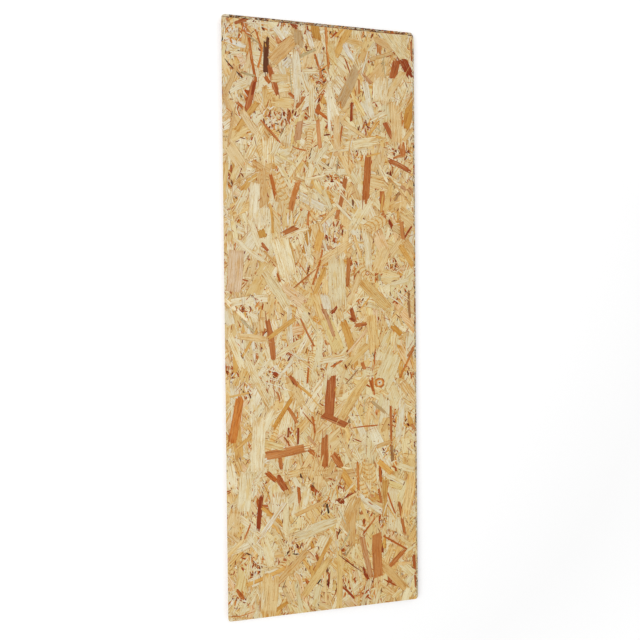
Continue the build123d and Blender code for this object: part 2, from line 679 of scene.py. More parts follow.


# %% [markdown]
# ## Strands that the photo shows
#
# A board is known by its boldest strands: the dark torn one near the top, the
# bent pair of red strands, the knot. These were picked out one by one, and each is
# given by its two ends and its width, in millimetres from the left and from the
# top of a quarter of the sheet. They go down last, over the scattered mat.

# %% Pick out the bold strands
QUARTER = LENGTH / 4
BOLD_STRANDS = [
    {
        "dark brown": [(134, 76, 131, 163, 17), (139, 58, 136, 96, 9)],
        "red brown": [(142, 148, 166, 226, 17), (96, 196, 74, 280, 17), (42, 24, 76, 8, 10),
                      (548, 100, 535, 150, 25), (599, 28, 601, 86, 9), (508, 293, 532, 341, 15),
                      (525, 413, 585, 440, 15), (205, 281, 198, 306, 11)],
        "dark red": [(205, 0, 226, 22, 13), (400, 240, 398, 292, 9), (97, 198, 90, 232, 8),
                     (562, 80, 592, 131, 26)],
        "rust": [(81, 66, 100, 192, 8), (102, 38, 119, 94, 5), (300, 140, 302, 168, 9),
                 (46, 262, 66, 281, 9), (284, 267, 323, 293, 10), (203, 223, 226, 240, 10),
                 (115, 310, 172, 373, 7), (368, 315, 357, 376, 6), (284, 98, 300, 150, 7),
                 (130, 178, 142, 194, 12), (212, 386, 254, 396, 4)],
        "orange brown": [(318, 0, 326, 130, 8), (122, 90, 109, 152, 6), (292, 151, 322, 127, 4)],
        "brown": [(452, 406, 442, 538, 22), (248, 230, 226, 262, 10), (565, 356, 567, 396, 21),
                  (536, 404, 566, 394, 8)],
        "brown tan": [(492, 38, 490, 72, 16), (424, 165, 424, 206, 7)],
        "golden": [(395, 6, 350, 94, 20), (488, 290, 455, 336, 7), (448, 403, 489, 391, 6),
                   (452, 344, 494, 340, 8), (350, 36, 378, 4, 8), (104, 256, 41, 345, 17)],
        "tan": [(152, 128, 216, 58, 36), (480, 30, 540, 58, 26), (604, 304, 570, 346, 12),
                (38, 275, 15, 395, 8), (40, 160, 10, 240, 14), (447, 74, 418, 126, 22),
                (460, 98, 536, 70, 12)],
        "honey": [(368, 298, 440, 342, 13), (352, 284, 350, 400, 21), (544, 236, 548, 352, 36),
                  (150, 180, 196, 176, 24), (570, 128, 505, 228, 23), (60, 290, 100, 350, 22)],
        "grey beige": [(418, 124, 368, 233, 32), (232, 30, 234, 70, 27)],
        "grey green": [(77, 56, 114, 81, 4), (238, 107, 283, 82, 9), (58, 170, 98, 178, 7),
                       (206, 132, 210, 220, 3), (354, 418, 348, 452, 5)],
        "pink brown": [(432, 144, 463, 173, 13), (235, 307, 226, 364, 20)],
        "white": [(378, 62, 402, 98, 17), (190, 142, 206, 116, 21), (443, 170, 465, 277, 19),
                  (325, 200, 328, 326, 12), (160, 25, 186, 60, 16), (262, 30, 276, 74, 15)],
        "straw": [(515, 0, 577, 78, 48), (380, 373, 467, 354, 29), (328, 392, 442, 379, 7),
                  (241, 152, 289, 146, 17), (272, 185, 272, 290, 17)],
        "pale yellow": [(402, 211, 438, 273, 16), (330, 60, 346, 124, 21)],
        "cream": [(225, 94, 228, 236, 27), (495, 158, 492, 226, 50), (240, 156, 262, 212, 20)],
        "bark": [(10, 135, 31, 157, 3), (45, 170, 60, 186, 4)],
        "red tan": [(290, 298, 297, 385, 12)],
        "golden brown": [(600, 214, 578, 302, 28), (283, 0, 290, 46, 26)],
    },
    {
        "dark red": [(594, 164, 569, 203, 6), (518, 146, 529, 166, 11), (330, 441, 346, 420, 9)],
        "red brown": [(218, 81, 247, 97, 5), (52, 335, 68, 340, 5), (114, 227, 131, 247, 10),
                      (392, 428, 402, 463, 13)],
        "rust": [(143, 17, 156, 74, 11), (260, 125, 254, 166, 6), (218, 181, 200, 206, 9),
                 (303, 244, 271, 351, 6), (160, 318, 168, 340, 6)],
        "brown": [(378, 19, 359, 107, 14), (354, 117, 347, 145, 12), (496, 54, 502, 149, 16),
                  (278, 305, 211, 361, 5), (186, 193, 216, 177, 18)],
        "pink brown": [(280, 230, 328, 235, 11), (300, 414, 336, 512, 11),
                       (585, 41, 598, 55, 17), (560, 36, 576, 46, 13)],
        "grey brown": [(582, 382, 586, 454, 8), (556, 54, 539, 81, 9)],
        "pink tan": [(38, 249, 28, 371, 46)],
        "golden": [(499, 68, 492, 119, 7), (142, 109, 149, 191, 8), (200, 224, 213, 287, 9),
                   (298, 187, 284, 242, 22), (308, 300, 272, 390, 13), (557, 228, 598, 289, 17)],
        "golden brown": [(262, 179, 243, 253, 14), (110, 188, 117, 207, 26)],
        "striped honey": [(432, 344, 512, 423, 34), (270, 379, 296, 460, 18),
                          (528, 34, 507, 112, 19)],
        "tan": [(522, 11, 591, 93, 6), (113, 0, 120, 117, 28), (575, 214, 603, 247, 22),
                (122, 251, 166, 301, 8)],
        "honey": [(385, 221, 304, 276, 25), (408, 216, 443, 222, 5), (420, 318, 384, 412, 19),
                  (505, 240, 479, 302, 38), (300, 158, 346, 112, 12)],
        "arched honey": [(168, 60, 203, 112, 26), (448, 176, 502, 138, 42),
                         (160, 12, 185, 60, 22)],
        "pale yellow": [(602, 115, 511, 141, 18)],
        "straw": [(168, 213, 196, 323, 52), (345, 279, 348, 404, 56), (72, 127, 106, 238, 18),
                  (582, 334, 524, 351, 13), (256, 25, 308, 14, 9), (128, 320, 186, 412, 32)],
        "cream": [(95, 44, 88, 157, 32), (30, 214, 118, 281, 13), (118, 116, 117, 174, 28),
                  (188, 205, 253, 177, 14), (442, 190, 453, 292, 22), (344, 96, 396, 148, 9)],
        "white": [(228, 76, 307, 113, 25), (305, 213, 314, 246, 8), (305, 384, 316, 427, 25)],
        "grey green": [(485, 320, 487, 336, 8), (232, 52, 230, 112, 3)],
        "brown tan": [(385, 269, 382, 352, 12), (224, 40, 203, 119, 17),
                      (560, 149, 566, 204, 13)],
    },
    {
        "red brown": [(325, 192, 318, 304, 30), (298, 301, 373, 337, 19),
                      (196, 177, 219, 206, 11)],
        "dark red": [(146, 165, 161, 176, 11), (190, 337, 188, 363, 7), (220, 337, 218, 387, 7),
                     (388, 0, 402, 8, 8), (177, 364, 193, 391, 4)],
        "rust": [(458, 189, 465, 242, 6), (452, 198, 462, 232, 9), (470, 99, 464, 161, 4),
                 (363, 132, 325, 151, 6), (255, 134, 250, 197, 6), (410, 344, 491, 341, 4),
                 (265, 304, 272, 353, 7), (255, 410, 281, 431, 12)],
        "brown": [(130, 6, 146, 116, 17), (163, 428, 165, 458, 12), (330, 427, 353, 463, 20),
                  (405, 22, 438, 18, 12), (230, 0, 271, 84, 6), (427, 142, 434, 161, 11),
                  (304, 372, 302, 458, 23), (520, 283, 521, 402, 8)],
        "orange brown": [(600, 98, 551, 192, 7), (42, 244, 18, 367, 27)],
        "brown tan": [(580, 122, 606, 92, 10), (590, 346, 603, 361, 11),
                      (191, 275, 215, 319, 11), (122, 418, 237, 402, 27)],
        "grey brown": [(522, 414, 524, 458, 11), (412, 164, 372, 206, 4)],
        "golden": [(212, 0, 135, 55, 14), (220, 204, 263, 241, 9), (12, 233, 71, 222, 6),
                   (80, 351, 37, 386, 11)],
        "golden brown": [(198, 249, 145, 331, 13), (530, 28, 556, 53, 17)],
        "striped honey": [(430, 199, 364, 302, 29), (460, 6, 466, 92, 32)],
        "honey": [(396, 118, 420, 70, 16), (40, 50, 113, 60, 20)],
        "straw": [(234, 65, 159, 113, 17), (62, 120, 126, 251, 24), (530, 118, 494, 206, 62),
                  (14, 48, 50, 142, 20)],
        "pale yellow": [(102, 374, 172, 396, 19)],
        "white": [(560, 273, 545, 380, 22), (200, 134, 160, 180, 10)],
        "grey green": [(50, 0, 85, 38, 7)],
        "pink tan": [(380, 110, 440, 40, 9)],
        "bark": [(507, 252, 509, 262, 6)],
        "tan": [(475, 410, 515, 398, 14)],
        "cream": [(296, 131, 361, 121, 21), (502, 254, 483, 337, 12), (100, 318, 92, 460, 42)],
        "grey beige": [(456, 264, 499, 301, 10)],
        "pink brown": [(250, 365, 278, 400, 8)],
    },
    {
        "red brown": [(156, 29, 177, 67, 19), (594, 316, 603, 416, 11)],
        "rust": [(124, 14, 147, 38, 15), (72, 161, 52, 209, 5), (482, 11, 484, 64, 9),
                 (507, 104, 531, 171, 5), (493, 242, 569, 290, 6), (362, 289, 394, 343, 5),
                 (28, 364, 46, 391, 10), (462, 184, 427, 226, 6), (240, 354, 249, 376, 9),
                 (220, 64, 221, 113, 11)],
        "dark red": [(365, 108, 399, 91, 8), (424, 337, 440, 372, 9), (352, 385, 393, 429, 7),
                     (103, 87, 93, 181, 13), (345, 112, 362, 123, 16), (484, 268, 488, 293, 9),
                     (428, 356, 440, 374, 9)],
        "orange brown": [(408, 0, 411, 86, 8)],
        "pink brown": [(420, 238, 449, 369, 17)],
        "brown": [(563, 293, 507, 346, 15), (250, 437, 263, 458, 15), (478, 89, 485, 131, 7),
                  (546, 139, 563, 238, 9)],
        "golden brown": [(180, 420, 111, 456, 11)],
        "golden": [(60, 352, 171, 314, 13), (500, 64, 496, 177, 15), (360, 28, 396, 86, 21),
                   (320, 234, 267, 332, 13), (132, 170, 162, 202, 10), (478, 0, 520, 40, 18),
                   (108, 119, 166, 173, 13)],
        "tan": [(492, 337, 561, 413, 26), (300, 114, 209, 151, 12), (160, 346, 237, 271, 20),
                (392, 160, 388, 260, 20)],
        "striped honey": [(312, 299, 237, 397, 23), (348, 279, 345, 458, 19)],
        "honey": [(130, 349, 120, 442, 54), (590, 60, 570, 170, 34)],
        "straw": [(178, 97, 180, 217, 21), (330, 180, 214, 216, 36)],
        "arched honey": [(443, 4, 450, 66, 42), (420, 60, 440, 110, 20)],
        "white": [(176, 109, 99, 209, 15)],
        "bark": [(308, 124, 313, 152, 6), (225, 24, 228, 34, 5)],
        "brown tan": [(468, 235, 472, 369, 31)],
        "cream": [(560, 346, 592, 374, 28), (90, 370, 70, 412, 9), (60, 10, 50, 120, 40)],
    },
]
print("bold strands:", sum(len(places) for part in BOLD_STRANDS for places in part.values()))

# %% [markdown]
# ## Splinters on the bold strands
#
# A large strand is seldom one flat tone: thin splinters have lifted along it, some
# paler and some darker, and a few run past its ends. Dark strands are rougher and
# more torn than pale ones, so they get torn blanks and stronger splinters.

# %% Turn the list into strands
PALE_KINDS = {"clean": 5, "torn": 4, "frayed": 3, "tapered": 1}
DARK_KINDS = {"clean": 1, "torn": 5, "frayed": 3, "tapered": 2}
DARK_RED_LEVEL = 185
SLIVER_WIDTH = 5
SHORTEST_BOLD = 4
BOLD_SPECKS = 3
ARCHES = {"rings": 3.0, "gap": 9.0, "blank": BLANKS["clean"][0]}
NO_ARCHES = {"arch": 0.0}
PALE_WOOD, DARK_WOOD = linear((216, 170, 116)), linear((120, 52, 20))
DARK_STRAND = 0.25
MIX_IN_DARK, MIX_IN_PALE = 0.65, 0.2
LIFTED_PER_MM = 0.26
LIFTED_NUMBERS = (0.6, 1.6)
LIFTED_REACH = 0.42
LIFTED_LENGTHS = (0.25, 0.8)
LIFTED_WIDTHS = (1.2, 3.4)
LIFTED_TURN_SPREAD = 0.03


def lifted_splinters(strand, tone):
    """Splinters along a strand, some paler and some darker, a few beyond its ends."""
    splinters = []
    most = MIX_IN_DARK if strand.tone[1] < DARK_STRAND else MIX_IN_PALE
    for _ in range(int(strand.width * LIFTED_PER_MM * draw.uniform(*LIFTED_NUMBERS))):
        along = draw.uniform(-0.5, 0.5) * strand.length
        across = draw.uniform(-LIFTED_REACH, LIFTED_REACH) * strand.width
        length = strand.length * draw.uniform(*LIFTED_LENGTHS)
        turn = strand.turn + draw.normal(0, LIFTED_TURN_SPREAD)
        width = draw.uniform(*LIFTED_WIDTHS)
        splinter = make_strand("sliver", tone, beside(strand, along, across), turn, length, width)
        other = PALE_WOOD if draw.random() < 0.5 else DARK_WOOD
        share = draw.uniform(0, most)
        splinter.tone = strand.tone * (1 - share) + other * share
        splinters.append(splinter)
    return splinters


def bold_strands():
    """Every strand picked out one by one, each followed by its splinters and specks."""
    pieces = []
    for quarter, tones in enumerate(BOLD_STRANDS):
        for tone, places in tones.items():
            for left_a, top_a, left_b, top_b, width in places:
                ends = np.array([(left_a, -top_a), (left_b, -top_b)], float)
                ends += (-WIDTH / 2, LENGTH / 2 - quarter * QUARTER)
                x, y = ends.mean(axis=0)
                run = ends[1] - ends[0]
                length = max(math.hypot(*run), SHORTEST_BOLD)
                kinds = DARK_KINDS if TONES[tone][0][0] < DARK_RED_LEVEL else PALE_KINDS
                kind = "sliver" if width < SLIVER_WIDTH else pick(kinds)
                turn = math.atan2(run[1], run[0])
                arches = ARCHES if TONES[tone][2] else NO_ARCHES
                strand = make_strand(kind, tone, (x, y), turn, length, width, **arches)
                specks = scatter_specks_and_shade([strand], WARM_SPECK_TONES, BOLD_SPECKS)
                pieces += [strand] + lifted_splinters(strand, tone) + specks
    return pieces


# %% [markdown]
# ## Knots
#
# A flake cut through a small branch carries a knot: a dark ring round a pale
# heart, on which a white ring is a painted highlight. Each knot is a little
# stack of discs.

# %% Set the knots
KNOTS = [(2, 483, 206, 25), (1, 446, 315, 11), (3, 410, 419, 9), (1, 246, 404, 6)]
# The white ring is a painted highlight on the knot's heart.
KNOT_RINGS_AND_HIGHLIGHT = [
    (1.2, "brown"), (1.06, "orange brown"), (0.72, "honey"), (0.54, "white"), (0.24, "brown"),
]


def knots():
    """The discs of every knot, the widest first."""
    discs = []
    for quarter, left, top, size in KNOTS:
        place = (left - WIDTH / 2, LENGTH / 2 - quarter * QUARTER - top)
        for share, tone in KNOT_RINGS_AND_HIGHLIGHT:
            across = share * size
            turn = draw.uniform(0, math.pi)
            discs.append(make_strand("disc", tone, place, turn, across, across, slant=0.0, bow=0.0))
    return discs


# %% [markdown]
# ## Patches of shards
#
# Between the large strands lie patches where only small broken pieces were
# pressed in. They look speckled, and most of the dark spots are there. Pale
# splinters cross them. Each patch is given by its middle and its radius, in
# millimetres from the left and from the top of a quarter, as the bold strands are.

# %% Fill the patches
SHARD_PATCHES = [
    [(70, 290, 30), (205, 305, 32), (290, 220, 26), (450, 330, 38), (560, 385, 32), (300, 165, 24),
     (150, 300, 34), (410, 405, 22), (560, 70, 26), (30, 60, 32), (110, 20, 26), (330, 330, 26),
     (190, 24, 18), (250, 22, 17), (345, 24, 18), (455, 22, 19), (590, 26, 18)],
    [(200, 196, 28), (345, 30, 34), (345, 190, 36), (240, 320, 24), (560, 385, 34), (530, 285, 26),
     (80, 412, 36), (400, 290, 16), (480, 335, 20), (430, 410, 18)],
    [(190, 100, 28), (150, 165, 28), (300, 160, 18), (545, 335, 34), (60, 215, 26), (195, 352, 24),
     (520, 425, 28), (385, 150, 18), (590, 175, 22), (20, 170, 20), (350, 420, 18)],
    [(75, 292, 38), (195, 245, 32), (300, 132, 28), (30, 392, 32), (372, 385, 32), (503, 185, 26),
     (590, 150, 22), (350, 212, 18), (280, 362, 18), (115, 60, 18), (345, 62, 26), (440, 420, 22)],
]
CROWDED_MIDDLE = 0.6
SHARD_ROOM = 11
BUNDLE_ROOM = 12
WIDEST_PATCH_SHARD = 6.2
PATCH_BUNDLE_TONES = {"cream": 5, "white": 4, "straw": 2, "golden": 2, "rust": 1}
PATCH_BUNDLE_NUMBERS = (2, 6)


def near_spot(middle, radius):
    """A place in a round patch, more often near its middle."""
    angle = draw.uniform(0, 2 * math.pi)
    distance = radius * draw.random() ** CROWDED_MIDDLE
    return middle[0] + distance * math.cos(angle), middle[1] + distance * math.sin(angle)


def patch_shards():
    """The shards and the pale splinters of every patch."""
    pieces = []
    for quarter, patches in enumerate(SHARD_PATCHES):
        for left, top, radius in patches:
            middle = (left - WIDTH / 2, LENGTH / 2 - quarter * QUARTER - top)
            for _ in range(int(radius * radius / SHARD_ROOM)):
                spot = near_spot(middle, radius)
                pieces.append(make_shard(spot, PATCH_TONES, WIDEST_PATCH_SHARD))
            for _ in range(int(radius / BUNDLE_ROOM)):
                spot = near_spot(middle, radius)
                tone = pick(PATCH_BUNDLE_TONES)
                lie = lie_of_strand()
                pieces += make_bundle(spot, lie, tone, draw.integers(*PATCH_BUNDLE_NUMBERS))
    return pieces


# %% [markdown]
# ## The saw
#
# After pressing, a saw cuts the sheet to size, straight through every strand that
# crosses the line. The outline is read from the plain sheet, so that its worn
# corners are the same. A strand that crosses a line is cut with a bisecting plane
# and the cut is closed with a new face. Saw teeth leave no strand quite level with
# the next, so each is cut up to a third of a millimetre short.

# %% Read the saw lines and cut a strand
WALL_STARTS = 0.3
CUT_TOLERANCE = 0.0001


def saw_lines():
    """The sheet's outline, as points on it and the directions that face outwards."""
    points = [vertex.co / MM for vertex in bpy.data.objects[CAD_NODE].data.vertices]
    walls = [p for p in points if WALL_STARTS < p.z < THICKNESS - WALL_STARTS]
    corners = {(round(p.x, 2), round(p.y, 2)) for p in walls}
    corners = sorted(corners, key=lambda corner: math.atan2(corner[1], corner[0]))
    lines = []
    for start, end in zip(corners, corners[1:] + corners[:1]):
        run = np.subtract(end, start)
        outward = np.array([run[1], -run[0]]) / np.hypot(*run)
        lines.append((np.array(start), outward))
    return lines


SAW_LINES = saw_lines()
print("saw lines:", len(SAW_LINES))


def saw(strand, points):
    """Cuts a strand where the saw or a chipped rim ends it. Returns what is left."""
    crossed = []
    lines = [(point - outward * strand.trim, outward) for point, outward in SAW_LINES]
    for point, outward in lines + strand.stops:
        beyond = (points[:, :2] - point) @ outward
        if beyond.min() > 0:
            return points[:0], []
        if beyond.max() > 0:
            crossed.append((point, outward))
    if not crossed:
        return points, strand.blank.faces
    piece = bmesh.new()
    corners = [piece.verts.new(point) for point in points]
    for face in strand.blank.faces:
        piece.faces.new([corners[index] for index in face])
    for point, outward in crossed:
        everything = piece.verts[:] + piece.edges[:] + piece.faces[:]
        bmesh.ops.bisect_plane(
            piece,
            geom=everything,
            dist=CUT_TOLERANCE,
            plane_co=(*point, 0),
            plane_no=(*outward, 0),
            clear_outer=True,
        )
        open_edges = [edge for edge in piece.edges if edge.is_boundary]
        bmesh.ops.holes_fill(piece, edges=open_edges, sides=0)
    bmesh.ops.recalc_face_normals(piece, faces=piece.faces[:])
    piece.verts.index_update()
    left = np.array([corner.co[:] for corner in piece.verts]).reshape(-1, 3)
    kept = in_order(piece.faces)
    piece.free()
    return left, kept


# %% [markdown]
# ## Pressing strands into one mesh
#
# Thousands of separate objects would be slow, so the strands of a side are joined
# into a few long meshes. A side has its own axes: across it, along it and out of
# it. Each point keeps its strand's tone and figure as attributes, and two maps
# are written. One runs along the strand, for its grain. The other folds a long
# band of the side into a square, for baking.

# %% Join strands into a mesh
SIDES = {
    "face": ((0, 0, THICKNESS), (1, 0, 0), (0, 1, 0), (0, 0, 1)),
    "underside": ((0, 0, 0), (1, 0, 0), (0, -1, 0), (0, 0, -1)),
    "right": ((WIDTH / 2, 0, THICKNESS / 2), (0, 1, 0), (0, 0, 1), (1, 0, 0)),
    "left": ((-WIDTH / 2, 0, THICKNESS / 2), (0, -1, 0), (0, 0, 1), (-1, 0, 0)),
    "far": ((0, LENGTH / 2, THICKNESS / 2), (-1, 0, 0), (0, 0, 1), (0, 1, 0)),
    "near": ((0, -LENGTH / 2, THICKNESS / 2), (1, 0, 0), (0, 0, 1), (0, -1, 0)),
}
BOW_MIDDLE = 0.33


def bow_at(strand, along):
    """How far a strand bends sideways at places along it."""
    return strand.bow * ((2 * along / strand.length) ** 2 - BOW_MIDDLE)


def shape_strand(strand):
    """A strand's points on its side, torn by a third of its length at most."""
    blank = strand.blank
    tear = min(strand.width, strand.length / 3)
    along = blank.points[:, 0] * strand.length + blank.torn * tear
    across = blank.points[:, 1] * strand.width
    along = along + strand.slant * across
    bent = across + bow_at(strand, along)
    height = strand.top - (1 - blank.points[:, 2]) * strand.thickness
    cosine, sine = math.cos(strand.turn), math.sin(strand.turn)
    x = strand.x + along * cosine - bent * sine
    y = strand.y + along * sine + bent * cosine
    return np.column_stack([x, y, height])


def grain_places(strand, spots):
    """Where points of a side lie along and across a strand, in millimetres."""
    x = spots[:, 0] - strand.x
    y = spots[:, 1] - strand.y
    along = x * math.cos(strand.turn) + y * math.sin(strand.turn)
    bent = y * math.cos(strand.turn) - x * math.sin(strand.turn)
    return np.column_stack([along, bent - bow_at(strand, along)])


def folded_places(strand, spots, fold):
    """Where points of a side lie on the square that the side is folded into."""
    centre = (strand.x, strand.y)[fold.long_axis]
    row = int(np.clip((centre - fold.start) // fold.step, 0, fold.rows - 1))
    along = spots[:, fold.long_axis] - fold.start - row * fold.step + fold.spare
    across = spots[:, 1 - fold.long_axis] - fold.low + fold.margin + row * fold.height
    square = (fold.step + 2 * fold.spare, fold.height * fold.rows)
    return np.column_stack([along / square[0], across / square[1]])


def plan_fold(long_axis, long_length, low, high, rows, spare, margin):
    """How a band of a side is folded into rows that fill a square."""
    return SimpleNamespace(
        long_axis=long_axis,
        start=-long_length / 2,
        step=long_length / rows,
        rows=rows,
        low=low,
        spare=spare,
        margin=margin,
        height=high - low + 2 * margin,
    )


def write_attribute(mesh, name, kind, values):
    """Gives every point of a mesh its value."""
    attribute = mesh.attributes.new(name, kind, "POINT")
    field = "vector" if kind == "FLOAT_VECTOR" else "color"
    attribute.data.foreach_set(field, np.asarray(values, np.float32).ravel())


def write_map(mesh, name, places):
    """Gives every face corner of a mesh its point's place on a map."""
    layer = mesh.uv_layers.new(name=name)
    corners = np.empty(len(mesh.loops), np.int32)
    mesh.loops.foreach_get("vertex_index", corners)
    layer.uv.foreach_set("vector", places[corners].astype(np.float32).ravel())


def add_piece(name, mesh, material):
    """Makes a finished mesh a piece of the board."""
    mesh.materials.append(material)
    piece = bpy.data.objects.new(name, mesh)
    bpy.context.collection.objects.link(piece)
    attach(piece, "root")
    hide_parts(CAD_NODE)


def press(name, side, strands, fold, material):
    """Joins strands into one piece of the board and places it on its side."""
    origin, across, along, outward = (np.array(part, float) for part in SIDES[side])
    axes = np.array([across, along, outward])
    found = SimpleNamespace(points=[], faces=[], tone=[], figure=[], size=[], grain=[], bake=[])
    count = 0
    for strand in sorted(strands, key=lambda strand: strand.top):
        placed = shape_strand(strand) @ axes + origin
        placed, faces = saw(strand, placed)
        if not faces:
            continue
        spots = (placed - origin) @ axes.T
        found.points.append(placed)
        found.faces.extend([[count + index for index in face] for face in faces])
        found.grain.append(grain_places(strand, spots))
        found.bake.append(folded_places(strand, spots, fold))
        found.tone.append(np.tile([*strand.tone, 1.0], (len(placed), 1)))
        figure = [strand.seed, strand.rings, strand.gap, strand.arch]
        found.figure.append(np.tile(figure, (len(placed), 1)))
        half_size = [strand.length / 2, strand.width / 2, 0]
        found.size.append(np.tile(half_size, (len(placed), 1)))
        count += len(placed)
    mesh = bpy.data.meshes.new(name)
    mesh.from_pydata(np.concatenate(found.points) * MM, [], found.faces)
    write_attribute(mesh, "tone", "FLOAT_COLOR", np.concatenate(found.tone))
    write_attribute(mesh, "figure", "FLOAT_COLOR", np.concatenate(found.figure))
    write_attribute(mesh, "half_size", "FLOAT_VECTOR", np.concatenate(found.size))
    write_map(mesh, "grain", np.concatenate(found.grain))
    write_map(mesh, "OFBake", np.concatenate(found.bake))
    add_piece(name, mesh, material)
    triangles = sum(len(face) - 2 for face in found.faces)
    print(name, len(strands), "strands,", triangles, "triangles")


# %% [markdown]
# ## Wood grain as a node group
#
# Grain is what more than one material here needs, so it is a node group. It
# reads the map that runs along each strand. Growth rings are stripes across the
# strand that wander slowly, and arch where the knife met the log's side.
# Fibres are fine lines along it, streaks are broader, and patches are broader
# still. The group gives all four as plain values, and each material colours them
# in its own way.

# %% Build the grain group
RING_WANDER = (0.016, 0.03)
RING_PATCHES = (0.016, 0.09)
RING_PATCH_FINENESS = 2.3
FIBRE_SCALES = (0.09, 2.2)
FIBRE_DETAIL, FIBRE_ROUGHNESS = 3.0, 0.6
STREAK_SCALES = (0.016, 0.30)
PATCH_SCALES = (0.03, 0.07)
PATCH_SEED = 7.0
RING_SWING = 11.0
SWING_OF_ARCH = 0.3
ARCH_BULGE = 0.018
ARCH_PACE = 0.6
RING_RISES, RING_FALLS = (0.55, 0.92), (0.94, 1.0)
RINGS_FADE = (0.35, 0.62, 0.15, 1.0)


def new_group(name, inputs, outputs):
    """An empty node group with named inputs, given with their defaults, and outputs."""
    group = bpy.data.node_groups.new(name, "ShaderNodeTree")
    for label, value in inputs.items():
        kind = "NodeSocketVector" if isinstance(value, tuple) else "NodeSocketFloat"
        socket = group.interface.new_socket(label, in_out="INPUT", socket_type=kind)
        socket.default_value = value
    for label in outputs:
        group.interface.new_socket(label, in_out="OUTPUT", socket_type="NodeSocketFloat")
    return group, group.nodes.new("NodeGroupInput"), group.nodes.new("NodeGroupOutput")


def feed(tree, value, target, socket):
    """Gives an input a value: a number, or a pair of a node and its output."""
    if isinstance(value, tuple):
        link(tree, *value, target, socket)
    elif value is not None:
        target.inputs[socket].default_value = value


def calculate(tree, operation, first, second=None, clamp=False):
    """A Math node on one value or two."""
    node = add_node(tree, "ShaderNodeMath", operation=operation, use_clamp=clamp)
    feed(tree, first, node, 0)
    feed(tree, second, node, 1)
    return node, 0


def join(tree, x, y, z):
    """A vector from three values."""
    node = add_node(tree, "ShaderNodeCombineXYZ")
    for socket, value in enumerate((x, y, z)):
        feed(tree, value, node, socket)
    return node, 0


def noise(tree, vector, scale, detail=2.0, roughness=0.5):
    """Smooth noise from 0 to 1."""
    inputs = {"Scale": scale, "Detail": detail, "Roughness": roughness}
    node = add_node(tree, "ShaderNodeTexNoise", inputs)
    feed(tree, vector, node, "Vector")
    return node, "Fac"


def strand_noise(tree, place, scales, seed, detail=2.0, roughness=0.5, fineness=1.0):
    """Noise drawn out by its own scales along and across a strand."""
    stretched = [calculate(tree, "MULTIPLY", part, scale) for part, scale in zip(place, scales)]
    return noise(tree, join(tree, *stretched, seed), fineness, detail, roughness)


def remap(tree, value, low_in, high_in, low_out=0.0, high_out=1.0, smooth=True):
    """Moves a value from one range to another, with soft or straight ends."""
    inputs = {"From Min": low_in, "From Max": high_in, "To Min": low_out, "To Max": high_out}
    node = add_node(tree, "ShaderNodeMapRange", inputs)
    node.interpolation_type = "SMOOTHSTEP" if smooth else "LINEAR"
    feed(tree, value, node, "Value")
    return node, "Result"


def add_bump(tree, height, shader, settings):
    """A bump with its strength and distance, that feeds a shader."""
    bump = add_node(tree, "ShaderNodeBump", settings)
    feed(tree, height, bump, "Height")
    link(tree, bump, "Normal", shader, "Normal")


def grain_group():
    """Growth rings and fibres along a strand."""
    inputs = {"Place": (0.0, 0.0, 0.0), "Seed": 0.0, "Ring gap": 3.0, "Arch": 0.0}
    tree, source, result = new_group("wood_grain", inputs, ["Rings", "Fibres", "Streaks", "Patches"])
    parts = add_node(tree, "ShaderNodeSeparateXYZ")
    link(tree, source, "Place", parts, 0)
    along, across = (parts, "X"), (parts, "Y")
    place = (along, across)
    seed = (source, "Seed")

    wander = strand_noise(tree, place, RING_WANDER, seed)
    swing = remap(tree, wander, 0.0, 1.0, -RING_SWING, RING_SWING, smooth=False)
    straight = calculate(tree, "ADD", across, swing)
    steady = calculate(tree, "ADD", across, calculate(tree, "MULTIPLY", swing, SWING_OF_ARCH))
    squared = calculate(tree, "MULTIPLY", steady, steady)
    bulge = calculate(tree, "MULTIPLY", squared, ARCH_BULGE)
    arched = calculate(tree, "ADD", calculate(tree, "MULTIPLY", along, ARCH_PACE), bulge)
    path = add_node(tree, "ShaderNodeMix", data_type="FLOAT")
    link(tree, source, "Arch", path, "Factor")
    feed(tree, straight, path, "A")
    feed(tree, arched, path, "B")
    count = calculate(tree, "DIVIDE", (path, 0), (source, "Ring gap"))
    within = calculate(tree, "FRACT", calculate(tree, "ADD", count, seed))
    rise = remap(tree, within, *RING_RISES)
    fall = remap(tree, within, *RING_FALLS, 1.0, 0.0)
    late = calculate(tree, "MULTIPLY", rise, fall)
    patchy = strand_noise(tree, place, RING_PATCHES, seed, fineness=RING_PATCH_FINENESS)
    uneven = remap(tree, patchy, *RINGS_FADE)
    strength = calculate(tree, "MAXIMUM", uneven, (source, "Arch"))

    patch_seed = calculate(tree, "ADD", seed, PATCH_SEED)
    values = {
        "Rings": calculate(tree, "MULTIPLY", late, strength),
        "Fibres": strand_noise(tree, place, FIBRE_SCALES, seed, FIBRE_DETAIL, FIBRE_ROUGHNESS),
        "Streaks": strand_noise(tree, place, STREAK_SCALES, seed),
        "Patches": strand_noise(tree, place, PATCH_SCALES, patch_seed),
    }
    for label, value in values.items():
        feed(tree, value, result, label)
    return tree


GRAIN = grain_group()
